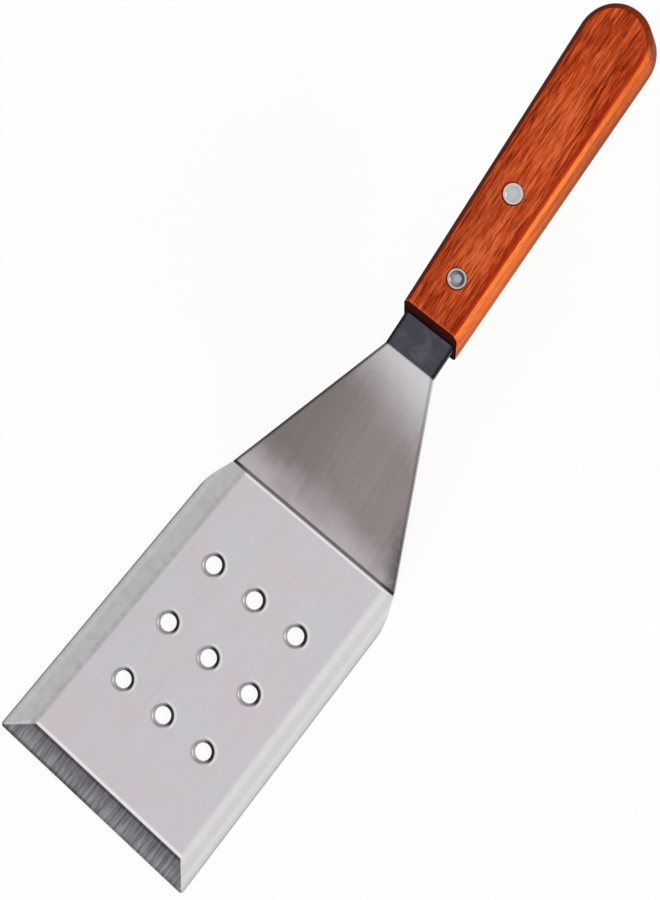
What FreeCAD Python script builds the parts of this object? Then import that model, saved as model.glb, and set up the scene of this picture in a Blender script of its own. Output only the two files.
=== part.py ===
import FreeCAD, Part
import math
import os
import Sketcher

# Driving sizes of the turner, in millimetres and degrees
sizes = {
    # blade: one sheet, bent up at the heel into the neck and again into the shank and tang
    "blade_length": 142.5,
    "blade_width": 100.0,
    "sheet_thickness": 2.0,
    "bend_radius": 1.2,
    "front_bevel_width": 10.7,
    "side_bevel_width": 9.4,
    "edge_thickness": 0.6,
    "front_corner_radius": 1.5,
    "heel_length": 12.3,
    "heel_taper": 7.4,
    "heel_radius": 30.0,
    "neck_length": 84.9,
    "neck_rise": 30.3,
    "shank_length": 13.4,
    "handle_rise": 19.4,
    "shank_width": 22.2,
    "tang_width": 14.0,
    "tang_grip_length": 84.0,
    "tang_corner_radius": 3.0,
    "shank_seat_depth": 4.0,
    # drain holes, three rows of three about the middle of the blade
    "hole_diameter": 7.0,
    "hole_edge_radius": 1.3,
    "hole_pitch_along": 29.0,
    "hole_pitch_across": 21.6,
    "hole_setback": 66.1,
    # handle: two scales that meet on the middle of the tang, cut off together on a slant in front
    "handle_length": 129.0,
    "handle_front_width": 24.0,
    "handle_butt_width": 26.4,
    "butt_corner_radius": 12.8,
    "butt_slant": 16.0,
    "scale_thickness": 8.5,
    "handle_front_slant": 37.4,
    "scale_edge_chamfer": 2.0,
    "scale_edge_softening": 0.6,
    "tang_side_clearance": 0.2,
    "tang_face_clearance": 0.05,
    # two-piece rivets: a hollow socket from above, a post from below
    "front_rivet_setback": 23.8,
    "rivet_spacing": 35.5,
    "rivet_head_diameter": 8.0,
    "rivet_head_thickness": 1.6,
    "rivet_head_recess": 0.2,
    "rivet_rim_chamfer": 0.4,
    "rivet_dish_diameter": 5.2,
    "front_rivet_dish_depth": 0.6,
    "rear_rivet_dish_depth": 0.15,
    "rivet_barrel_diameter": 5.0,
    "rivet_post_diameter": 3.2,
    "rivet_post_clearance": 0.05,
    "rivet_hole_clearance": 0.1,
    "rivet_end_gap": 0.5,
}
hole_rows = 3
hole_columns = 3
same_place = 1e-4  # millimetres within which two places are one
same_direction = 1e-6  # sine of the angle within which two directions are one

# Places worked out from the sizes, in the frame whose X = 0 is the heel's bend line
neck_run = "Sizes.neck_length * cos(Sizes.neck_rise)"
neck_top = "(Sizes.sheet_thickness + Sizes.neck_length * sin(Sizes.neck_rise))"
tang_length = "(Sizes.shank_length + Sizes.tang_grip_length)"
half_turn = "((Sizes.neck_rise - Sizes.handle_rise) / 2)"
mean_rise = "((Sizes.neck_rise + Sizes.handle_rise) / 2)"
heel_half_width = "((Sizes.blade_width - Sizes.heel_taper) / 2)"
side_slope = "(Sizes.heel_taper / 2 / (Sizes.blade_length - Sizes.heel_length))"
mitre = f"Sizes.sheet_thickness / cos({half_turn})"
handle_x = (
    f"({neck_run} + Sizes.shank_length * cos(Sizes.handle_rise)"
    " + Sizes.sheet_thickness / 2 * sin(Sizes.handle_rise))"
)
handle_z = (
    f"({neck_top} + Sizes.shank_length * sin(Sizes.handle_rise)"
    " - Sizes.sheet_thickness / 2 * cos(Sizes.handle_rise))"
)
side_height = "(Sizes.scale_thickness - Sizes.scale_edge_chamfer)"
rear_reach = (
    f"({handle_x} + (Sizes.handle_length - {side_height} * tan(Sizes.butt_slant)) * cos(Sizes.handle_rise)"
    f" + {side_height} * sin(Sizes.handle_rise))"
)
footprint_centre = f"(({rear_reach} - Sizes.blade_length) / 2)"
rivet_setbacks = {
    "front": "Sizes.front_rivet_setback",
    "rear": "(Sizes.front_rivet_setback + Sizes.rivet_spacing)",
}
head_top = "(Sizes.scale_thickness - Sizes.rivet_head_recess)"
head_seat = f"({head_top} - Sizes.rivet_head_thickness)"

doc = FreeCAD.newDocument("turner")


def make_sheet():
    sheet = doc.addObject("Spreadsheet::Sheet", "Sizes")
    for row, (alias, value) in enumerate(sizes.items(), start=1):
        sheet.set(f"A{row}", alias)
        sheet.set(f"B{row}", str(value))
        sheet.setAlias(f"B{row}", alias)
    doc.recompute()


def make_body(label):
    body = doc.addObject("PartDesign::Body", label)
    body.Label = label
    return body


def origin_feature(body, role):
    return next(feature for feature in body.Origin.OriginFeatures if feature.Role == role)


def make_sketch(body, name, role):
    sketch = body.newObject("Sketcher::SketchObject", name)
    sketch.AttachmentSupport = [(origin_feature(body, role), "")]
    sketch.MapMode = "FlatFace"
    return sketch


def bind(sketch, constraint, name, expression):
    index = sketch.addConstraint(constraint)
    sketch.renameConstraint(index, name)
    sketch.setExpression(f"Constraints.{name}", expression)


def draw_outline(sketch, corners):
    """Closes lines through corners, each held at its own X and Y expressions."""
    count = len(corners)
    turn = 2 * math.pi / count
    start = [FreeCAD.Vector(math.cos(turn * step), math.sin(turn * step), 0) for step in range(count)]
    for step in range(count):
        sketch.addGeometry(Part.LineSegment(start[step], start[(step + 1) % count]), False)
    for step in range(count):
        sketch.addConstraint(Sketcher.Constraint("Coincident", step, 2, (step + 1) % count, 1))
    for step, (across, up) in enumerate(corners):
        place = start[step]
        bind(sketch, Sketcher.Constraint("DistanceX", -1, 1, step, 1, place.x), f"across_{step}", across)
        bind(sketch, Sketcher.Constraint("DistanceY", -1, 1, step, 1, place.y), f"up_{step}", up)


def draw_circles(sketch, centres, diameter):
    for step, (across, up) in enumerate(centres):
        middle = FreeCAD.Vector(step + 1, step + 1, 0)
        sketch.addGeometry(Part.Circle(middle, FreeCAD.Vector(0, 0, 1), 1), False)
        bind(sketch, Sketcher.Constraint("Diameter", step, 2), f"diameter_{step}", diameter)
        bind(sketch, Sketcher.Constraint("DistanceX", -1, 1, step, 3, middle.x), f"across_{step}", across)
        bind(sketch, Sketcher.Constraint("DistanceY", -1, 1, step, 3, middle.y), f"up_{step}", up)


def pad(body, sketch, name, length, side="One side", reverse=False):
    feature = body.newObject("PartDesign::Pad", name)
    feature.Profile = sketch
    feature.SideType = side
    feature.Reversed = reverse
    feature.setExpression("Length", length)
    doc.recompute()
    return feature


def pocket(body, sketch, name, depth=None, side="One side", reverse=False):
    feature = body.newObject("PartDesign::Pocket", name)
    feature.Profile = sketch
    feature.SideType = side
    feature.Reversed = reverse
    if depth is None:
        feature.Type = "ThroughAll"
    else:
        feature.setExpression("Length", depth)
    doc.recompute()
    return feature


def mirror_across_middle(body, original, name):
    feature = body.newObject("PartDesign::Mirrored", name)
    feature.Originals = [original]
    feature.MirrorPlane = (origin_feature(body, "XZ_Plane"), [""])
    body.Tip = feature
    doc.recompute()
    return feature


def edges_where(feature, test):
    edges = enumerate(feature.Shape.Edges, start=1)
    return [f"Edge{number}" for number, edge in edges if test(edge)]


def runs_along(edge, direction):
    if not isinstance(edge.Curve, Part.Line):
        return False
    return edge.Curve.Direction.cross(direction).Length < same_direction


def fillet(body, base, name, test, radius):
    feature = body.newObject("PartDesign::Fillet", name)
    feature.Base = (base, edges_where(base, test))
    feature.setExpression("Radius", radius)
    doc.recompute()
    return feature


def seat_on_handle(body, along="0"):
    """Puts a body's frame on the middle of the tang, a distance along the handle from its front end."""
    body.Placement = FreeCAD.Placement(FreeCAD.Vector(), FreeCAD.Rotation(FreeCAD.Vector(0, -1, 0), 1))
    body.setExpression("Placement.Rotation.Angle", "Sizes.handle_rise")
    body.setExpression(
        "Placement.Base.x", f"{handle_x} + {along} * cos(Sizes.handle_rise) - {footprint_centre}"
    )
    body.setExpression("Placement.Base.z", f"{handle_z} + {along} * sin(Sizes.handle_rise)")


def bend_sheet(body):
    """The sheet's side view with sharp corners, as wide as the blade, then its two bends rounded."""
    tang_end_x = f"{neck_run} + {tang_length} * cos(Sizes.handle_rise)"
    tang_end_z = f"{neck_top} + {tang_length} * sin(Sizes.handle_rise)"
    profile = make_sketch(body, "side_view", "XZ_Plane")
    draw_outline(profile, [
        ("-Sizes.blade_length", "0"),
        ("Sizes.sheet_thickness * tan(Sizes.neck_rise / 2)", "0"),
        (f"{neck_run} + {mitre} * sin({mean_rise})", f"{neck_top} - {mitre} * cos({mean_rise})"),
        (
            f"{tang_end_x} + Sizes.sheet_thickness * sin(Sizes.handle_rise)",
            f"{tang_end_z} - Sizes.sheet_thickness * cos(Sizes.handle_rise)",
        ),
        (tang_end_x, tang_end_z),
        (neck_run, neck_top),
        ("0", "Sizes.sheet_thickness"),
        ("-Sizes.blade_length", "Sizes.sheet_thickness"),
    ])
    sheet = pad(body, profile, "bent_sheet", "Sizes.blade_width", "Symmetric")
    corners = [line.StartPoint for line in profile.Geometry]
    heel_below, shoulder_below, shoulder_above, heel_above = (corners[step] for step in (1, 2, 5, 6))

    def lies_at(edge, *places):
        if not runs_along(edge, FreeCAD.Vector(0, 1, 0)):
            return False
        middle = edge.CenterOfMass
        return any(math.hypot(middle.x - place.x, middle.z - place.y) < same_place for place in places)

    inner = fillet(
        body, sheet, "inner_bends", lambda edge: lies_at(edge, heel_above, shoulder_below),
        "Sizes.bend_radius",
    )
    return fillet(
        body, inner, "outer_bends", lambda edge: lies_at(edge, heel_below, shoulder_above),
        "Sizes.bend_radius + Sizes.sheet_thickness",
    )


def trim_sides(body):
    """Cuts the sheet's sides, left and then right: tapered on the blade, more so on the neck."""
    beyond_tang = f"{neck_run} + {tang_length} + Sizes.sheet_thickness"
    side = make_sketch(body, "sheet_side", "XY_Plane")
    draw_outline(side, [
        ("-Sizes.blade_length", "Sizes.blade_width / 2"),
        ("-Sizes.heel_length", heel_half_width),
        (neck_run, "Sizes.shank_width / 2"),
        (beyond_tang, "Sizes.shank_width / 2"),
        (beyond_tang, "Sizes.blade_width"),
        ("-Sizes.blade_length", "Sizes.blade_width"),
    ])
    cut = pocket(body, side, "left_trim", side="Symmetric")
    mirror_across_middle(body, cut, "both_trims")


def grind_bevels(body):
    """Grinds the top of the front and side edges down to the edge thickness."""
    below_edge = "2 * Sizes.edge_thickness - Sizes.sheet_thickness"
    front = make_sketch(body, "front_bevel_section", "XZ_Plane")
    draw_outline(front, [
        ("-Sizes.blade_length + Sizes.front_bevel_width", "Sizes.sheet_thickness"),
        ("-Sizes.blade_length - Sizes.front_bevel_width", "Sizes.sheet_thickness"),
        ("-Sizes.blade_length - Sizes.front_bevel_width", below_edge),
    ])
    pocket(body, front, "front_bevel", side="Symmetric")
    side = make_sketch(body, "side_bevel_section", "YZ_Plane")
    side.AttachmentOffset = FreeCAD.Placement(
        FreeCAD.Vector(), FreeCAD.Rotation(FreeCAD.Vector(0, -1, 0), 1)
    )
    side.setExpression("AttachmentOffset.Rotation.Angle", f"atan({side_slope})")
    side.setExpression("AttachmentOffset.Base.x", f"{heel_half_width} - Sizes.heel_length * {side_slope}")
    draw_outline(side, [
        ("-Sizes.side_bevel_width", "Sizes.sheet_thickness"),
        ("Sizes.side_bevel_width", below_edge),
        ("Sizes.side_bevel_width", "Sizes.sheet_thickness"),
    ])
    left = pocket(body, side, "left_bevel")
    mirror_across_middle(body, left, "both_side_bevels")


def punch_drain_holes(body):
    """The front row of holes, repeated towards the heel, with rolled upper rims."""
    columns = [step - (hole_columns - 1) / 2 for step in range(hole_columns)]
    front_row = make_sketch(body, "front_hole_row", "XY_Plane")
    draw_circles(
        front_row,
        [
            ("-Sizes.hole_setback - Sizes.hole_pitch_along", f"{column} * Sizes.hole_pitch_across")
            for column in columns
        ],
        "Sizes.hole_diameter",
    )
    row = pocket(body, front_row, "front_drain_holes", side="Symmetric")
    grid = body.newObject("PartDesign::LinearPattern", "drain_holes")
    grid.Originals = [row]
    grid.Direction = (origin_feature(body, "X_Axis"), [""])
    grid.Mode = "Spacing"
    grid.Occurrences = hole_rows
    grid.setExpression("Offset", "Sizes.hole_pitch_along")
    body.Tip = grid
    doc.recompute()

    def on_upper_rim(edge):
        is_round = isinstance(edge.Curve, Part.Circle)
        return is_round and abs(edge.BoundBox.ZMin - sizes["sheet_thickness"]) < same_place

    fillet(body, grid, "drain_hole_rims", on_upper_rim, "Sizes.hole_edge_radius")


def make_tang_sketch(body, name):
    """A sketch on the middle of the tang, with its X = 0 at the handle's front end."""
    sketch = make_sketch(body, name, "XY_Plane")
    sketch.AttachmentOffset = FreeCAD.Placement(
        FreeCAD.Vector(), FreeCAD.Rotation(FreeCAD.Vector(0, -1, 0), 1)
    )
    sketch.setExpression("AttachmentOffset.Rotation.Angle", "Sizes.handle_rise")
    sketch.setExpression("AttachmentOffset.Base.x", handle_x)
    sketch.setExpression("AttachmentOffset.Base.z", handle_z)
    return sketch


def cut_tang(body):
    """Narrows the tang inside the handle, behind the shank's seat, and punches its rivet holes."""
    through_tang = "2 * Sizes.sheet_thickness"
    beyond_tang = "Sizes.tang_grip_length + Sizes.sheet_thickness"
    side = make_tang_sketch(body, "tang_side")
    draw_outline(side, [
        ("Sizes.shank_seat_depth", "Sizes.tang_width / 2"),
        (beyond_tang, "Sizes.tang_width / 2"),
        (beyond_tang, "Sizes.shank_width"),
        ("Sizes.shank_seat_depth", "Sizes.shank_width"),
    ])
    left = pocket(body, side, "left_tang_cut", through_tang, "Symmetric")
    mirror_across_middle(body, left, "both_tang_cuts")
    holes = make_tang_sketch(body, "tang_holes_plan")
    draw_circles(
        holes, [(setback, "0") for setback in rivet_setbacks.values()],
        "Sizes.rivet_barrel_diameter + 2 * Sizes.rivet_hole_clearance",
    )
    return pocket(body, holes, "tang_holes", through_tang, "Symmetric")


def round_corners(body, base):
    """Rounds the heel, the front corners and the tang's hidden end."""
    upright = FreeCAD.Vector(0, 0, 1)
    rise = math.radians(sizes["handle_rise"])
    across_tang = FreeCAD.Vector(-math.sin(rise), 0, math.cos(rise))

    front_width = sizes["blade_width"]
    heel_width = front_width - sizes["heel_taper"]

    def at_blade_corner(edge, setback, width):
        if not runs_along(edge, upright):
            return False
        middle = edge.CenterOfMass
        beyond = middle.x + sizes[setback]
        outside = abs(middle.y) - width / 2
        return abs(beyond) < same_place and abs(outside) < same_place

    heel = fillet(
        body, base, "heel_corners", lambda edge: at_blade_corner(edge, "heel_length", heel_width),
        "Sizes.heel_radius",
    )
    front = fillet(
        body, heel, "front_corners", lambda edge: at_blade_corner(edge, "blade_length", front_width),
        "Sizes.front_corner_radius",
    )
    tang_end = front.Shape.BoundBox.XMax

    def at_tang_end(edge):
        near_end = tang_end - edge.CenterOfMass.x < sizes["sheet_thickness"]
        return near_end and runs_along(edge, across_tang)

    fillet(body, front, "tang_corners", at_tang_end, "Sizes.tang_corner_radius")


def make_blade():
    body = make_body("blade")
    bend_sheet(body)
    trim_sides(body)
    grind_bevels(body)
    punch_drain_holes(body)
    round_corners(body, cut_tang(body))
    body.setExpression("Placement.Base.x", f"-{footprint_centre}")
    return body


def make_scale(label, is_upper):
    """One half of the handle on the seam plane Z = 0, where its slanted front end is at X = 0."""
    body = make_body(label)
    sign = "" if is_upper else "-"
    outer = f"{sign}Sizes.scale_thickness"
    outer_z = sizes["scale_thickness"] if is_upper else -sizes["scale_thickness"]
    slant_run = "(Sizes.scale_thickness * tan(Sizes.handle_front_slant))"

    plan = make_sketch(body, "plan", "XY_Plane")
    draw_outline(plan, [
        (f"-{slant_run}", "-Sizes.handle_front_width / 2"),
        ("Sizes.handle_length", "-Sizes.handle_butt_width / 2"),
        ("Sizes.handle_length", "Sizes.handle_butt_width / 2"),
        (f"-{slant_run}", "Sizes.handle_front_width / 2"),
    ])
    block = pad(body, plan, "block", "Sizes.scale_thickness", reverse=not is_upper)
    block.UseCustomVector = True
    block.AlongSketchNormal = True
    block.Direction = FreeCAD.Vector(0, 0, 1)
    block.setExpression("Direction.x", "tan(Sizes.butt_slant)")
    doc.recompute()
    lean = math.radians(sizes["butt_slant"])
    leaning = FreeCAD.Vector(math.sin(lean), 0, math.cos(lean))

    def at_butt(edge):
        return runs_along(edge, leaning) and edge.CenterOfMass.x > sizes["handle_length"] / 2

    fillet(body, block, "butt_corners", at_butt, "Sizes.butt_corner_radius")

    slant = make_sketch(body, "front_slant_section", "XZ_Plane")
    draw_outline(slant, [
        (slant_run, "Sizes.scale_thickness"),
        (f"-{slant_run}", "-Sizes.scale_thickness"),
        (f"-2 * {slant_run}", "-Sizes.scale_thickness"),
        (f"-2 * {slant_run}", "Sizes.scale_thickness"),
    ])
    slanted = pocket(body, slant, "front_slant", side="Symmetric")

    def lies_level(edge, z):
        box = edge.BoundBox
        return abs(box.ZMin - z) < same_place and abs(box.ZMax - z) < same_place

    def on_outer_rim(edge):
        in_front = edge.CenterOfMass.x < sizes["handle_length"] / 2
        is_front = in_front and runs_along(edge, FreeCAD.Vector(0, 1, 0))
        return lies_level(edge, outer_z) and not is_front

    chamfer = body.newObject("PartDesign::Chamfer", "rim_chamfer")
    chamfer.Base = (slanted, edges_where(slanted, on_outer_rim))
    chamfer.setExpression("Size", "Sizes.scale_edge_chamfer")
    doc.recompute()

    inner_z = outer_z - math.copysign(sizes["scale_edge_chamfer"], outer_z)

    def borders_chamfer(edge):
        return lies_level(edge, outer_z) or lies_level(edge, inner_z)

    fillet(body, chamfer, "rim_softening", borders_chamfer, "Sizes.scale_edge_softening")

    recess = make_sketch(body, "tang_recess_plan", "XY_Plane")
    seat_half = "(Sizes.shank_width / 2 + Sizes.tang_side_clearance)"
    seat_end = "Sizes.shank_seat_depth + Sizes.tang_side_clearance"
    recess_half = "(Sizes.tang_width / 2 + Sizes.tang_side_clearance)"
    recess_end = "Sizes.tang_grip_length + Sizes.tang_side_clearance"
    draw_outline(recess, [
        (f"-2 * {slant_run}", f"-{seat_half}"),
        (seat_end, f"-{seat_half}"),
        (seat_end, f"-{recess_half}"),
        (recess_end, f"-{recess_half}"),
        (recess_end, recess_half),
        (seat_end, recess_half),
        (seat_end, seat_half),
        (f"-2 * {slant_run}", seat_half),
    ])
    recess_depth = "Sizes.sheet_thickness / 2 + Sizes.tang_face_clearance"
    pocket(body, recess, "tang_recess", recess_depth, reverse=is_upper)

    places = [(setback, "0") for setback in rivet_setbacks.values()]
    holes = make_sketch(body, "rivet_holes_plan", "XY_Plane")
    draw_circles(holes, places, "Sizes.rivet_barrel_diameter + 2 * Sizes.rivet_hole_clearance")
    pocket(body, holes, "rivet_holes", side="Symmetric")

    seats = make_sketch(body, "rivet_seats_plan", "XY_Plane")
    seats.setExpression("AttachmentOffset.Base.z", outer)
    draw_circles(seats, places, "Sizes.rivet_head_diameter + 2 * Sizes.rivet_hole_clearance")
    seat_depth = "Sizes.rivet_head_recess + Sizes.rivet_head_thickness"
    pocket(body, seats, "rivet_seats", seat_depth, reverse=not is_upper)

    seat_on_handle(body)
    return body


def head_outline(sign, dish_depth):
    """A dished rivet head from its seat to its middle, above (no sign) or below (minus) the seam."""
    return [
        ("Sizes.rivet_head_diameter / 2", f"{sign}{head_seat}"),
        ("Sizes.rivet_head_diameter / 2", f"{sign}({head_top} - Sizes.rivet_rim_chamfer)"),
        ("Sizes.rivet_head_diameter / 2 - Sizes.rivet_rim_chamfer", f"{sign}{head_top}"),
        (f"Sizes.rivet_dish_diameter / 2 + {dish_depth} / 2", f"{sign}{head_top}"),
        ("Sizes.rivet_dish_diameter / 2", f"{sign}({head_top} - {dish_depth})"),
        ("0", f"{sign}({head_top} - {dish_depth})"),
    ]


def spin(label, outline, setback):
    body = make_body(label)
    section = make_sketch(body, "section", "XZ_Plane")
    draw_outline(section, outline)
    turned = body.newObject("PartDesign::Revolution", "turned")
    turned.Profile = section
    turned.ReferenceAxis = (section, ["V_Axis"])
    doc.recompute()
    seat_on_handle(body, setback)
    return body


def make_rivet(place, setback):
    barrel_radius = "Sizes.rivet_barrel_diameter / 2"
    post_radius = "Sizes.rivet_post_diameter / 2"
    bore_radius = f"{post_radius} + Sizes.rivet_post_clearance"
    barrel_end = f"-({head_seat} - Sizes.rivet_end_gap)"
    dish_depth = f"Sizes.{place}_rivet_dish_depth"
    socket = spin(f"{place}_rivet_socket", [
        (bore_radius, barrel_end),
        (barrel_radius, barrel_end),
        (barrel_radius, head_seat),
        *head_outline("", dish_depth),
        ("0", head_seat),
        (bore_radius, head_seat),
    ], setback)
    post_end = f"{head_seat} - Sizes.rivet_end_gap"
    post = spin(f"{place}_rivet_post", [
        ("0", post_end),
        (post_radius, post_end),
        (post_radius, f"-{head_seat}"),
        *head_outline("-", dish_depth),
    ], setback)
    return [socket, post]


def check(nodes):
    doc.recompute()
    for item in doc.Objects:
        if "Invalid" in item.State or "Error" in item.State:
            raise RuntimeError(f"{item.Name} failed: {item.State}")
        if item.TypeId == "PartDesign::Pocket" and item.Shape.Volume >= item.BaseFeature.Shape.Volume:
            raise RuntimeError(f"{item.Name} removes nothing")
    for node in nodes:
        shape = node.Shape
        if shape.isNull() or not shape.isValid() or len(shape.Solids) != 1:
            raise RuntimeError(f"{node.Label} is not one valid solid")


make_sheet()
parts = [
    make_blade(),
    make_scale("upper_handle_scale", True),
    make_scale("lower_handle_scale", False),
]
for rivet_place, rivet_setback in rivet_setbacks.items():
    parts.extend(make_rivet(rivet_place, rivet_setback))
check(parts)
os.makedirs("parts", exist_ok=True)
for part in parts:
    part.Shape.exportStep(f"parts/{part.Label}.step")
    print(part.Label, round(part.Shape.Volume), "mm3")
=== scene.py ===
import math
import bpy
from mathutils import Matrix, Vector


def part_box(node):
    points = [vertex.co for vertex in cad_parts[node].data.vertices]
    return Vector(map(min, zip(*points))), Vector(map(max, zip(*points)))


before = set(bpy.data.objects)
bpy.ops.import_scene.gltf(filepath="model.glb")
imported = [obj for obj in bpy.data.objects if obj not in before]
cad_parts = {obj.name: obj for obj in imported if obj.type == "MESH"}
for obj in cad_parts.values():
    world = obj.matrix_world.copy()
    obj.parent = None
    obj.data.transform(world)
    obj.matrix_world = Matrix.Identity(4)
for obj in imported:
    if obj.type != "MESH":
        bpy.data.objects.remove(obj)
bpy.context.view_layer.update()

bpy.ops.object.select_all(action="DESELECT")
print("frame loaded:", ", ".join(sorted(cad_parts)))

perMetre = 1000.0  # the finishes count in millimetres


class Wire:  # a socket that sums can be written with
    def __init__(self, finish, socket):
        self.finish = finish
        self.socket = socket

    def math(self, operation, first, second=0.0, third=0.0):
        return self.finish.node("ShaderNodeMath", {"operation": operation}, {0: first, 1: second, 2: third})

    def __add__(self, other):
        return self.math("ADD", self, other)

    def __radd__(self, other):
        return self.math("ADD", other, self)

    def __sub__(self, other):
        return self.math("SUBTRACT", self, other)

    def __rsub__(self, other):
        return self.math("SUBTRACT", other, self)

    def __mul__(self, other):
        return self.math("MULTIPLY", self, other)

    def __rmul__(self, other):
        return self.math("MULTIPLY", other, self)

    def __truediv__(self, other):
        return self.math("DIVIDE", self, other)

    def __rtruediv__(self, other):
        return self.math("DIVIDE", other, self)

    def __abs__(self):
        return self.math("ABSOLUTE", self)

    def root(self):
        return self.math("SQRT", self)

    def most(self, other):
        return self.math("MAXIMUM", self, other)

    def wrapped(self, pitch):  # counts from the nearest of a row of evenly spaced places
        return self.math("WRAP", self, pitch / 2, -pitch / 2)

    def other(self, name):  # another output of the same node
        return Wire(self.finish, self.socket.node.outputs[name])


class Finish:  # the nodes of a material or a world
    def __init__(self, owner):
        owner.use_nodes = True
        self.owner = owner
        self.tree = owner.node_tree
        self.tree.nodes.clear()

    def node(self, kind, settings=None, sockets=None, out=0):  # every node is added here
        made = self.tree.nodes.new(kind)
        for key, value in (settings or {}).items():
            if key == "stops":
                self.setStops(made.color_ramp, value)
            else:
                setattr(made, key, value)
        for key, value in (sockets or {}).items():
            if isinstance(value, Wire):
                self.tree.links.new(value.socket, made.inputs[key])
            else:
                made.inputs[key].default_value = value
        return Wire(self, made.outputs[out]) if made.outputs else None

    def setStops(self, ramp, stops):
        while len(ramp.elements) < len(stops):
            ramp.elements.new(1.0)
        for element, (place, colour) in zip(ramp.elements, stops):
            element.position = place
            element.color = colour

    def split(self, vector):
        first = self.node("ShaderNodeSeparateXYZ", sockets={0: vector})
        return [first, first.other("Y"), first.other("Z")]

    def places(self):  # object coordinates in millimetres
        return [axis * perMetre for axis in self.split(self.node("ShaderNodeTexCoord", out="Object"))]

    def rise(self, value, low, high, ends=(0.0, 1.0)):  # 0 below low, 1 above high
        sockets = {"Value": value, "From Min": low, "From Max": high, "To Min": ends[0], "To Max": ends[1]}
        return self.node("ShaderNodeMapRange", {"interpolation_type": "SMOOTHSTEP"}, sockets)

    def fall(self, value, low, high):  # 1 below low, 0 above high
        return self.rise(value, low, high, (1.0, 0.0))

    def line(self, value, place, core, edge):  # 1 within core of the place, 0 past edge
        return self.fall(abs(value - place), core, edge)

    def noise(self, place, grain, wander=None):  # wander pushes the pattern about across the grain
        point = [axis * scale for axis, scale in zip(place, grain["scale"])]
        if wander:
            point[1] = point[1] + wander * grain["drift"]
        return self.node("ShaderNodeTexNoise", sockets={
            "Vector": self.node("ShaderNodeCombineXYZ", sockets=dict(enumerate(point))), "Scale": 1.0,
            "Detail": grain["detail"], "Roughness": grain["rough"], "Distortion": grain.get("twist", 0.0),
        })

    def blend(self, amount, first, second, how="MIX"):
        settings = {"data_type": "RGBA", "blend_type": how, "clamp_factor": True}
        return self.node("ShaderNodeMix", settings, {0: amount, 6: first, 7: second}, out=2)

    def layered(self, tone, layers):  # lays each colour over those before it, as much as its mask says
        for mask, colour in layers:
            tone = self.blend(mask, tone, colour)
        return tone

    def bump(self, height, strength, depth):
        sockets = {"Strength": strength, "Distance": depth, "Height": height}
        return self.node("ShaderNodeBump", sockets=sockets)

    def close(self, shader, kind="ShaderNodeOutputMaterial"):
        self.node(kind, sockets={"Surface": shader})
        return self.owner


def rgb(red, green, blue):
    return (red, green, blue, 1.0)


def between(mask, low, high):  # low where the mask is 0, high where it is 1
    return low + mask * (high - low)


def around(place, span):  # a span that is counted from a place
    return place + span[0], place + span[1]


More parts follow.
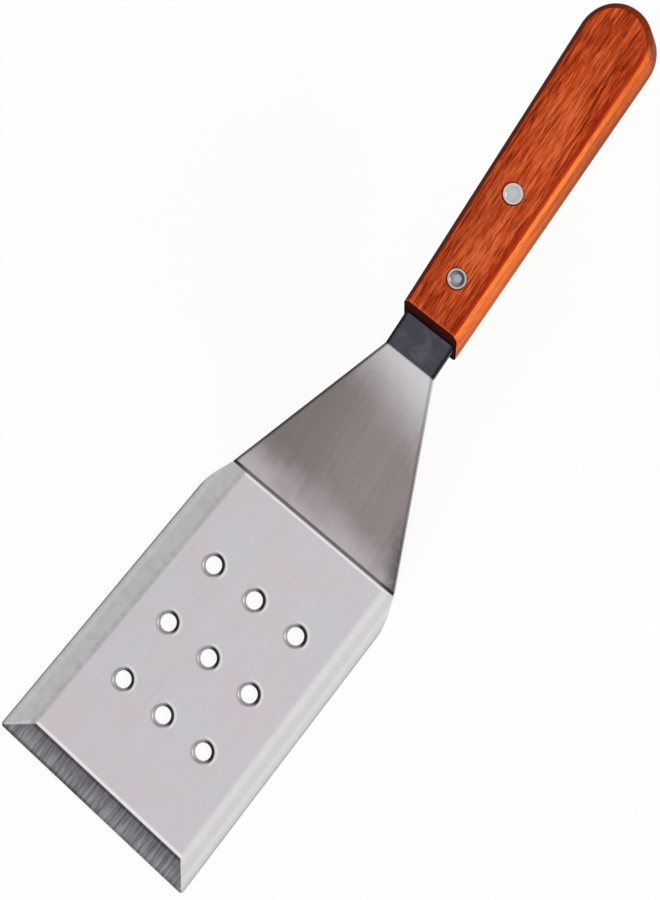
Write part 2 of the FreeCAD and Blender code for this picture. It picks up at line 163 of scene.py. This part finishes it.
# Blade, neck and shank: one steel sheet, so one finish that changes along it, with painted highlights,
# reflections and shade laid over it (millimetres)
bladeLook = {
    "length": 142.5, "halfFront": 50.0, "sideSlope": 0.0284,
    "frontWidth": 10.7, "leftWidth": 11.8, "rightWidth": 8.6, "sideCrease": 9.4,  # the ground edges
    "neckRun": 73.3, "neckHalf": 41.24, "neckSlope": 0.411, "shankHalf": 11.1,
    "holeSetback": 66.1, "holePitch": (29.0, 21.6), "holeRim": 4.8, "holeRows": 3,
    "flat": rgb(0.65, 0.625, 0.66), "flatWarm": rgb(0.66, 0.605, 0.645),
    "sideBevel": rgb(0.71, 0.705, 0.715), "bevelShade": rgb(0.36, 0.34, 0.36),
    "frontDark": rgb(0.19, 0.183, 0.2), "frontPale": rgb(0.285, 0.276, 0.295),
    "neckMiddle": rgb(0.44, 0.37, 0.37), "neckFarShade": rgb(0.33, 0.28, 0.275),
    "neckHeelHighlight": rgb(0.79, 0.72, 0.76), "neckTopHighlight": rgb(0.96, 0.93, 0.97),
    "shank": rgb(0.085, 0.08, 0.105), "shankWorn": rgb(0.125, 0.12, 0.15),
    "shade": rgb(0.05, 0.048, 0.05), "deepShade": rgb(0.012, 0.012, 0.013),
    "bright": rgb(0.95, 0.93, 0.95), "darkPatch": rgb(0.17, 0.165, 0.19),
    "spans": {  # where each mark starts and ends
        "top": (0.2, 0.5), "heel": (-0.2, 0.2), "left": (-1.0, 1.0), "shank": (-0.4, 0.5),
        "mitre": (-0.35, 0.35), "frontBevel": (-0.3, 0.1), "sideBevel": (-0.8, 0.4),
        "pastCrease": (-0.4, 0.4), "frontEdge": (0.7, 1.9), "sideEdge": (0.3, 0.9), "neckRim": (0.5, 1.6),
        "insideBend": (1.0, 1.4), "creaseEnds": (33.0, 40.0),
        "grid": (-0.5, 0.0), "holeRim": (-0.4, 0.3), "rimShade": (0.0, 0.7), "turnedAway": (0.1, 1.05),
        "flatWarm": (0.4, 0.62), "frontDark": (2.5, 9.0), "bevelWorn": (0.36, 0.66),
        "neckFarShade": (-8.0, 26.0), "neckHeelHighlight": (0.06, 0.39), "neckTopHighlight": (0.7, 1.12), "shankWorn": (0.42, 0.66),
        "darkPatchSide": (1.0, 7.5), "darkPatchEnd": (0.16, 0.42), "darkPatchFlecks": (0.27, 0.55),
        "grit": (0.34, 0.66),
    },
    "lines": {  # thin lines: place from the border that each follows, core and edge
        "crease": (0.0, 0.45, 1.0), "creaseGlint": (-1.35, 0.3, 0.75), "rimLight": (1.0, 0.2, 0.8),
        "sideGlint": (2.6, 0.4, 1.3), "innerGlint": (-0.8, 0.6, 2.4),
        "bevelLine": (-0.7, 0.4, 1.1), "bevelGlint": (0.7, 0.3, 0.9),
    },
    "shares": {  # how strongly each mark shows; a pair is from least to most
        "crease": (0.75, 1.0), "creaseGlint": 0.7, "pastCrease": 0.5,
        "bevelWorn": 0.07, "bevelFlecks": 0.16, "bevelSideShade": (0.35, 1.0),
        "sideGlint": 0.25, "innerGlint": 0.28, "bevelLine": 0.7, "bevelGlint": 0.85,
        "outerEdge": (0.3, 0.65), "neckRim": (0.4, 0.85), "shankRim": 0.8, "darkPatch": 0.8,
        "holeRim": 0.4, "rimLight": 0.5, "rimShade": 0.95,
        "grit": (0.25, 0.75), "overlay": (0.11, 0.8),
    },
    # borders of the neck's painted highlights at heel and top: how ragged, and how much further up on the
    # left
    "neckEnds": ((0.3, 0.0012), (0.16, 0.004)),
    "rough": {"plain": 0.24, "streak": 0.12, "front": 0.12, "shank": 0.14, "crease": 0.2, "holeRim": 0.2},
    "bump": {"streak": 0.6, "mottle": 0.4, "strength": 0.06, "depth": 0.0004},
    "grain": {  # scale along x, y and z
        "brushed": {"scale": (0.02, 1.7, 0.02), "detail": 4.0, "rough": 0.65},
        "ground": {"scale": (0.06, 0.85, 0.06), "detail": 4.0, "rough": 0.7},
        "sideGround": {"scale": (0.8, 0.06, 0.06), "detail": 4.0, "rough": 0.7},
        "mottle": {"scale": (0.045, 0.045, 0.045), "detail": 3.0, "rough": 0.55},
        "patches": {"scale": (0.16, 0.16, 0.16), "detail": 3.0, "rough": 0.6},
        "flecks": {"scale": (0.3, 0.3, 0.3), "detail": 3.0, "rough": 0.6},
    },
}


def bladeSteel():
    look = bladeLook
    spans, lines, shares = look["spans"], look["lines"], look["shares"]
    steel = Finish(bpy.data.materials.new("blade_steel"))
    x, y, z = steel.places()
    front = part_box("blade")[0][0] * perMetre
    heel = front + look["length"]
    fromFront = x - front
    fromSide = look["halfFront"] - fromFront * look["sideSlope"] - abs(y)
    fromHeel = x - heel
    alongNeck = fromHeel / look["neckRun"]
    onTop = steel.rise(z, *spans["top"])
    onBlade = steel.fall(fromHeel, *spans["heel"])
    onShank = steel.rise(x, *around(heel + look["neckRun"], spans["shank"]))
    onLeft = steel.rise(y, *spans["left"])

    # where the ground edges, bends and rims are
    sideWidth = between(onLeft, look["rightWidth"], look["leftWidth"])
    pastSide = fromSide - sideWidth
    pastFront = fromFront - look["frontWidth"]
    mitre = steel.rise(fromSide * look["frontWidth"] / sideWidth - fromFront, *spans["mitre"])
    frontBevel = steel.fall(fromFront, *around(look["frontWidth"], spans["frontBevel"])) * mitre * onTop
    sideBevel = steel.fall(pastSide, *spans["sideBevel"]) * (1 - mitre) * onTop * onBlade
    pastCrease = steel.rise(fromSide - look["sideCrease"], *spans["pastCrease"]) * onLeft  # a darker strip along the left bevel's inner border
    sideGlint = steel.line(fromSide, *lines["sideGlint"])
    innerGlint = steel.line(pastSide, *lines["innerGlint"]) * (1 - onLeft) * onBlade * onTop
    bevelLine = steel.line(pastFront, *lines["bevelLine"]) * frontBevel
    bevelGlint = steel.line(pastFront, *lines["bevelGlint"]) * (1 - sideBevel) * onTop
    sideEdge = steel.fall(fromSide, *spans["sideEdge"])
    outerEdge = sideEdge.most(steel.fall(fromFront, *spans["frontEdge"])) * onBlade
    neckHalf = (look["neckHalf"] - fromHeel * look["neckSlope"]).most(look["shankHalf"])
    neckRim = steel.fall(neckHalf - abs(y), *spans["neckRim"]) * (1 - onBlade)
    insideBend = steel.rise(z, *spans["insideBend"])
    crease = steel.line(fromHeel, *lines["crease"]) * insideBend
    creaseEnds = steel.rise(abs(y), *spans["creaseEnds"])
    creaseGlint = steel.line(fromHeel, *lines["creaseGlint"]) * insideBend

    # the drain holes, each rim shaded on the side that is turned away from the light
    pitchAlong, pitchAcross = look["holePitch"]
    fromMiddle = fromHeel + look["holeSetback"]
    alongHole, acrossHole = fromMiddle.wrapped(pitchAlong), y.wrapped(pitchAcross)
    fromHole = (alongHole * alongHole + acrossHole * acrossHole).root()
    gridReach = look["holeRows"] / 2
    inGrid = steel.fall(abs(fromMiddle), *around(gridReach * pitchAlong, spans["grid"]))
    inGrid = inGrid * steel.fall(abs(y), *around(gridReach * pitchAcross, spans["grid"]))
    turnedAway = steel.rise((alongHole - acrossHole) / fromHole, *spans["turnedAway"])
    holeRim = steel.fall(fromHole, *around(look["holeRim"], spans["holeRim"])) * inGrid
    rimShade = steel.fall(fromHole, *around(look["holeRim"], spans["rimShade"])) * turnedAway * inGrid
    rimLight = steel.line(fromHole - look["holeRim"], *lines["rimLight"]) * turnedAway * inGrid

    # brushing along the sheet, grinding square to each edge, and slow mottling
    grain = {name: steel.noise((x, y, z), kind) for name, kind in look["grain"].items()}
    mottle, flecks = grain["mottle"], grain["flecks"]
    streak = grain["brushed"] * (1 - frontBevel) * (1 - sideBevel)
    streak = streak + grain["ground"] * frontBevel + grain["sideGround"] * sideBevel

    # the tone of each stretch
    flatTone = steel.blend(steel.rise(mottle, *spans["flatWarm"]), look["flat"], look["flatWarm"])
    # the neck: painted reflections, a pale painted highlight at the heel, a bright one at the top, and
    # painted shade towards the left
    heelEnd, topEnd = [alongNeck + mottle * ragged - y * skew for ragged, skew in look["neckEnds"]]
    neckTone = steel.layered(look["neckMiddle"], [
        (steel.rise(y, *spans["neckFarShade"]), look["neckFarShade"]),
        (steel.fall(heelEnd, *spans["neckHeelHighlight"]), look["neckHeelHighlight"]),
        (steel.rise(topEnd, *spans["neckTopHighlight"]), look["neckTopHighlight"]),
    ])
    # the side bevels: paler as painted light on the right one, darker as painted shade on the left one, with
    # worn flecks on both
    sideWorn = shares["bevelWorn"] + steel.rise(flecks, *spans["bevelWorn"]) * shares["bevelFlecks"]
    sideWorn = sideWorn * between(onLeft, *shares["bevelSideShade"]) + pastCrease * shares["pastCrease"]
    sideTone = steel.layered(look["sideBevel"], [
        (sideWorn, look["bevelShade"]),
        (sideGlint * shares["sideGlint"], look["bright"]),
    ])
    # the ground front bevel, darkened partly as painted shade, paler towards its outer edge
    frontTone = steel.blend(steel.rise(fromFront, *spans["frontDark"]), look["frontPale"], look["frontDark"])
    shankWorn = steel.rise(grain["patches"], *spans["shankWorn"])
    shankTone = steel.blend(shankWorn, look["shank"], look["shankWorn"])
    # a darker patch along the neck's right edge near the heel
    darkPatch = steel.fall(neckHalf + y, *spans["darkPatchSide"]) * steel.fall(alongNeck, *spans["darkPatchEnd"])
    darkPatch = darkPatch * (1 - onBlade) * steel.rise(flecks, *spans["darkPatchFlecks"])

    tone = steel.layered(neckTone, [
        (onBlade, flatTone),
        (creaseGlint * shares["creaseGlint"], look["bright"]),
        (sideBevel, sideTone),
        (innerGlint * shares["innerGlint"], look["bright"]),
        (frontBevel, frontTone),
        (bevelLine * shares["bevelLine"], look["shade"]),
        (bevelGlint * shares["bevelGlint"], look["bright"]),
        (darkPatch * shares["darkPatch"], look["darkPatch"]),
        (onShank, shankTone),
        (outerEdge * between(onLeft, *shares["outerEdge"]), look["shade"]),
        (neckRim * between(onLeft, *shares["neckRim"]), look["shade"]),
        (neckRim * onShank * shares["shankRim"], look["deepShade"]),
        (crease * between(creaseEnds, *shares["crease"]), look["shade"]),
        (holeRim * shares["holeRim"], look["shade"]),
        (rimLight * shares["rimLight"], look["bright"]),
        (rimShade * shares["rimShade"], look["deepShade"]),
    ])
    grit = between(steel.rise(streak, *spans["grit"]), *shares["grit"])
    grey = steel.node("ShaderNodeCombineColor", sockets={0: grit, 1: grit, 2: grit})
    tone = steel.blend(between(frontBevel, *shares["overlay"]), tone, grey, "OVERLAY")

    rough, bump = look["rough"], look["bump"]
    roughness = rough["plain"] + streak * rough["streak"] + frontBevel * rough["front"]
    roughness = roughness + onShank * rough["shank"] + crease * rough["crease"] + holeRim * rough["holeRim"]
    height = streak * bump["streak"] + mottle * bump["mottle"]
    shader = steel.node("ShaderNodeBsdfPrincipled", sockets={
        "Base Color": tone, "Metallic": 1.0, "Roughness": roughness,
        "Normal": steel.bump(height, bump["strength"], bump["depth"]),
    })
    return steel.close(shader)


# Handle scales: oiled red-brown hardwood, with the light orange along its right side painted light
# (millimetres)
woodLook = {
    "tilt": math.radians(19.4), "front": (53.35, 48.34),  # the handle's tilt, and x and z of its front end
    "slant": 0.7646,  # how far the front end runs back for its height
    "halfFront": 12.06, "widening": 0.0089, "chamfer": 2.0,
    "planks": {"upper": 0.0, "lower": 310.0},  # each scale comes from its own stretch of plank
    "dark": rgb(0.17, 0.012, 0.002), "red": rgb(0.42, 0.046, 0.008),
    "orange": rgb(0.60, 0.076, 0.016), "light": rgb(0.81, 0.15, 0.043),
    "stops": {"dark": 0.402, "red": 0.46, "orange": 0.517, "light": 0.585},
    "rimRed": rgb(0.33, 0.016, 0.001), "cornerHighlight": rgb(0.88, 0.21, 0.045),
    "side": rgb(0.80, 0.155, 0.013), "sideDark": rgb(0.38, 0.062, 0.004), "sideFar": rgb(0.20, 0.03, 0.001),
    "farCornerShade": rgb(0.08, 0.007, 0.002), "buttDark": rgb(0.10, 0.012, 0.002),
    "endGrainShade": rgb(0.012, 0.002, 0.001), "endRed": rgb(0.05, 0.005, 0.002),
    "spans": {  # where each mark starts and ends
        "heartAcross": (2.0, 10.0), "heartStart": (5.0, 40.0), "heartEnd": (85.0, 125.0),
        "flecks": (0.36, 0.46), "patches": (0.36, 0.5), "pores": (0.3, 0.42), "rim": (0.4, 2.0),
        "right": (-0.6, -0.3), "rightTop": (7.6, 8.2), "cornerHighlight": (-0.97, -0.85),
        "farCornerShade": (0.3, 0.6), "farSide": (0.85, 0.97), "butt": (0.12, 0.42),
        "lighter": (0.36, 0.58), "lighterUp": (-3.6, 0.8),
        "sideFade": (20.0, 85.0), "cornerFade": (75.0, 115.0),
        "end": (0.1, 0.35), "endEdgeHighlight": (0.5, 1.3), "endRed": (4.0, 9.0),
    },
    "underCornerShade": (6.2, 0.2, 0.8),  # a thin line of painted shade under the chamfer: height, core and edge
    "shares": {  # how strongly each mark shows; a pair is from least to most
        "bands": 0.24, "streak": 0.44, "fine": 0.32,  # these three make up the grain
        "heart": 0.05, "flecks": 0.6, "patches": 0.25, "pores": 0.6, "rim": 0.75,
        "lighterUp": (0.25, 1.0), "sideFade": 0.45, "cornerFade": 0.6, "underCornerShade": 0.25,
        "sideFlecks": 0.3, "farCornerShade": 0.92, "butt": 0.85, "endEdgeHighlight": 0.4, "endStreak": 6.0,
    },
    "rough": {"plain": 0.48, "pores": 0.25, "fine": 0.12, "end": 0.35},
    "bump": {"grain": 0.5, "pores": 0.6, "strength": 0.25, "depth": 0.0004},
    "specular": 0.05,
    "grain": {  # scale along, across and up the handle
        "wander": {"scale": (0.025, 0.1, 0.1), "detail": 2.0, "rough": 0.5},
        "bands": {"scale": (0.022, 0.28, 0.28), "detail": 3.0, "rough": 0.55, "drift": 1.5},
        "streak": {"scale": (0.075, 0.95, 0.95), "detail": 4.0, "rough": 0.62, "drift": 2.0, "twist": 0.3},
        "fine": {"scale": (0.2, 2.2, 2.2), "detail": 3.0, "rough": 0.6},
        "pores": {"scale": (0.2, 3.6, 3.6), "detail": 2.0, "rough": 0.5},
        "flecks": {"scale": (0.11, 1.3, 1.3), "detail": 2.0, "rough": 0.5},
    },
}


def tilted(run, height):  # the same step, counted along and square to the handle
    cosTilt, sinTilt = math.cos(woodLook["tilt"]), math.sin(woodLook["tilt"])
    return run * cosTilt + height * sinTilt, height * cosTilt - run * sinTilt


def alongHandle(x, z):
    return tilted(x - woodLook["front"][0], z - woodLook["front"][1])


def handleWood(name, plank):
    look = woodLook
    spans, shares, kinds = look["spans"], look["shares"], look["grain"]
    wood = Finish(bpy.data.materials.new(name))
    x, y, z = wood.places()
    along, up = alongHandle(x, z)
    place = (along + plank, y, up)
    wander = wood.noise(place, kinds["wander"])
    bands = wood.noise(place, kinds["bands"], wander)
    streak = wood.noise(place, kinds["streak"], wander)
    fine = wood.noise(place, kinds["fine"])
    grain = bands * shares["bands"] + streak * shares["streak"] + fine * shares["fine"]
    flecks = wood.fall(wood.noise(place, kinds["flecks"]), *spans["flecks"])

    # where the corners, ends and pores are
    facing = wood.split(wood.node("ShaderNodeNewGeometry", out="Normal"))
    backward = tilted(facing[0], facing[2])[0]
    fromRim = look["halfFront"] + along * look["widening"] - look["chamfer"] + y
    fromEnd = along - up * look["slant"]
    onRight = wood.fall(facing[1], *spans["right"]) * wood.fall(up, *spans["rightTop"])
    onCorner = onRight * wood.rise(facing[1], *spans["cornerHighlight"])
    # the left chamfer, in painted shade
    onFarCorner = wood.rise(facing[1], *spans["farCornerShade"]) * wood.fall(facing[1], *spans["farSide"])
    onEnd = wood.fall(fromEnd, *spans["end"])
    pores = wood.fall(wood.noise(place, kinds["pores"]), *spans["pores"]) * (1 - onEnd)

    # the right side, painted lit, with painted shade downwards and towards the butt and a painted highlight
    # on its chamfer
    sideFade = wood.rise(along, *spans["sideFade"])
    lowSide = wood.blend(sideFade, look["sideDark"], look["sideFar"])
    highSide = wood.blend(sideFade * shares["sideFade"], look["side"], look["rimRed"])
    lighterUp = between(wood.rise(up, *spans["lighterUp"]), *shares["lighterUp"])
    cornerFade = wood.rise(along, *spans["cornerFade"]) * shares["cornerFade"]
    sideTone = wood.layered(lowSide, [
        (wood.rise(grain, *spans["lighter"]) * lighterUp, highSide),
        (onCorner, wood.blend(cornerFade, look["cornerHighlight"], highSide)),
        (wood.line(up, *look["underCornerShade"]) * shares["underCornerShade"], look["sideDark"]),
        (flecks * shares["sideFlecks"], look["red"]),
    ])

    # the grain, lighter along the heart of the top, with everything else laid over it
    heart = wood.fall(abs(y), *spans["heartAcross"])
    heart = heart * wood.rise(along, *spans["heartStart"]) * wood.fall(along, *spans["heartEnd"])
    stops = [(stop, look[colour]) for colour, stop in look["stops"].items()]
    plain = wood.node("ShaderNodeValToRGB", {"stops": stops}, {0: grain + heart * shares["heart"]})
    endRed = wood.rise(up + streak * shares["endStreak"], *spans["endRed"])
    tone = wood.layered(plain, [
        (flecks * shares["flecks"], look["dark"]),
        (wood.fall(wander, *spans["patches"]) * shares["patches"], look["dark"]),
        (wood.fall(fromRim, *spans["rim"]) * shares["rim"], look["rimRed"]),
        (onRight, sideTone),
        (onFarCorner * shares["farCornerShade"], look["farCornerShade"]),
        (wood.rise(backward, *spans["butt"]) * shares["butt"], look["buttDark"]),
        # a painted highlight along the top's front edge
        (wood.fall(fromEnd, *spans["endEdgeHighlight"]) * shares["endEdgeHighlight"], look["light"]),
        # the front end face, painted near-black as shade, a little redder towards its top
        (onEnd, wood.blend(endRed, look["endGrainShade"], look["endRed"])),
        (pores * shares["pores"], look["dark"]),
    ])

    rough, bump = look["rough"], look["bump"]
    height = grain * bump["grain"] - pores * bump["pores"]
    shader = wood.node("ShaderNodeBsdfPrincipled", sockets={
        "Base Color": tone, "Specular IOR Level": look["specular"],
        "Roughness": rough["plain"] + pores * rough["pores"] + fine * rough["fine"] + onEnd * rough["end"],
        "Normal": wood.bump(height, bump["strength"], bump["depth"]),
    })
    return wood.close(shader)


# Rivet heads: bright metal, their rims painted lighter and pinker as light, with a ring of painted shade
# round the middle that is dark in the front one (millimetres)
rivetLook = {
    "heads": {
        "front": {
            "along": 23.8, "rough": 0.3, "ring": 0.92,
            "middle": rgb(0.42, 0.48, 0.56), "rim": rgb(0.66, 0.50, 0.46),
        },
        "rear": {
            "along": 59.3, "rough": 0.26, "ring": 0.12,
            "middle": rgb(0.61, 0.62, 0.62), "rim": rgb(0.76, 0.64, 0.62),
        },
    },
    "scratch": rgb(0.85, 0.84, 0.84), "ringShade": rgb(0.05, 0.055, 0.065),
    "spans": {  # where each mark starts and ends
        "rim": (2.3, 2.9), "ringInside": (1.1, 1.9), "ringOutside": (2.5, 2.9),
        "scratch": (0.4, 0.7), "lee": (-1.2, 0.9),
    },
    "shares": {"scratch": 0.25, "lee": (0.4, 1.0), "scratchRough": 0.15},
    "bump": {"strength": 0.08, "depth": 0.0003},
    "scratches": {"scale": (1.2, 6.0, 1.2), "detail": 3.0, "rough": 0.6},
}


def rivetMetal(place):
    look, head = rivetLook, rivetLook["heads"][place]
    spans, shares, bump = look["spans"], look["shares"], look["bump"]
    metal = Finish(bpy.data.materials.new(place + "_rivet_metal"))
    x, y, z = metal.places()
    along, up = alongHandle(x, z)
    along = along - head["along"]
    spread = (along * along + y * y).root()
    scratches = metal.noise((along, y, up), look["scratches"])
    lee = between(metal.rise((along - y) / spread, *spans["lee"]), *shares["lee"])
    # a ring of painted shade in the head's dish, darkest on the lee side
    ring = metal.rise(spread, *spans["ringInside"]) * metal.fall(spread, *spans["ringOutside"]) * lee
    tone = metal.layered(head["middle"], [
        (metal.rise(spread, *spans["rim"]), head["rim"]),
        (metal.rise(scratches, *spans["scratch"]) * shares["scratch"], look["scratch"]),
        (ring * head["ring"], look["ringShade"]),
    ])
    shader = metal.node("ShaderNodeBsdfPrincipled", sockets={
        "Base Color": tone, "Metallic": 1.0, "Roughness": head["rough"] + scratches * shares["scratchRough"],
        "Normal": metal.bump(scratches, bump["strength"], bump["depth"]),
    })
    return metal.close(shader)


def dress(node, material):
    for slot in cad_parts[node].material_slots:
        slot.material = material


dress("blade", bladeSteel())
for half, plank in woodLook["planks"].items():
    dress(half + "_handle_scale", handleWood(half + "_handle_wood", plank))
for place in rivetLook["heads"]:
    rivet = rivetMetal(place)
    dress(place + "_rivet_socket", rivet)
    dress(place + "_rivet_post", rivet)
print("finishes on")


# Floor, studio light and camera (metres)
studio = {
    "floorSize": 300.0, "floorDrop": 0.0003, "floorTone": rgb(0.95, 0.95, 0.95), "floorGlow": 0.88,
    "overhead": 1.15, "horizon": 1.0,  # how bright the room is
    "farSide": 0.42, "card": 0.25,  # how much darker it is on the left of the blade and past its front
    "spans": {
        "overhead": (0.55, 0.95), "farSide": (0.2, 0.85),
        "card": (-0.6, -0.3), "cardFoot": (0.05, 0.25), "cardTop": (0.5, 0.66),
    },
}
keyLamp = {"place": (0.7, -0.95, 0.6), "aim": (0.05, 0.0, 0.05), "size": (0.6, 0.6), "power": 8.0}
view = {
    "place": (0.04621, -0.14942, 0.63674), "turn": (5.5809, 14.0252, -50.2892),  # turned by degrees
    "lens": 68.0, "sensor": 36.0, "clipStart": 0.01,
}


def makeFloor():
    bpy.ops.mesh.primitive_plane_add(size=studio["floorSize"], location=(0, 0, -studio["floorDrop"]))
    floor = bpy.context.object
    floor.name = "floor"
    paper = Finish(bpy.data.materials.new("floor_paper"))
    matte = paper.node("ShaderNodeBsdfDiffuse", sockets={"Color": studio["floorTone"]})
    glow = paper.node("ShaderNodeEmission", sockets={"Strength": 1.0})
    seen = paper.node("ShaderNodeLightPath", out="Is Camera Ray")
    seen = seen.most(seen.other("Is Glossy Ray")).most(seen.other("Is Transmission Ray"))
    mixed = paper.node("ShaderNodeMixShader", sockets={0: seen * studio["floorGlow"], 1: matte, 2: glow})
    floor.data.materials.append(paper.close(mixed))


def makeWorld():
    spans = studio["spans"]
    air = Finish(bpy.data.worlds.new("studio"))
    x, y, z = air.split(air.node("ShaderNodeTexCoord", out="Generated"))
    overhead = air.rise(z, *spans["overhead"])
    farSide = air.rise(y, *spans["farSide"])
    card = air.fall(x, *spans["card"]) * air.rise(z, *spans["cardFoot"]) * air.fall(z, *spans["cardTop"])
    level = between(overhead, studio["horizon"], studio["overhead"])
    level = level * (1 - farSide * studio["farSide"]) * (1 - card * studio["card"])
    sky = air.node("ShaderNodeBackground", sockets={"Strength": level})
    bpy.context.scene.world = air.close(sky, "ShaderNodeOutputWorld")


def makeLamp():
    bpy.ops.object.light_add(type="AREA", location=keyLamp["place"])
    light = bpy.context.object
    light.name = "key"
    light.data.shape = "RECTANGLE"
    light.data.size, light.data.size_y = keyLamp["size"]
    light.data.energy = keyLamp["power"]
    away = light.location - Vector(keyLamp["aim"])
    light.rotation_euler = away.to_track_quat("Z", "Y").to_euler()


def makeCamera():
    turn = [math.radians(angle) for angle in view["turn"]]
    bpy.ops.object.camera_add(location=view["place"], rotation=turn)
    camera = bpy.context.object
    camera.data.sensor_fit = "VERTICAL"
    camera.data.sensor_height = view["sensor"]
    camera.data.lens = view["lens"]
    camera.data.clip_start = view["clipStart"]
    bpy.context.scene.camera = camera


makeFloor()
makeWorld()
makeLamp()
makeCamera()
bpy.context.scene.view_settings.view_transform = "Standard"
print("studio set")
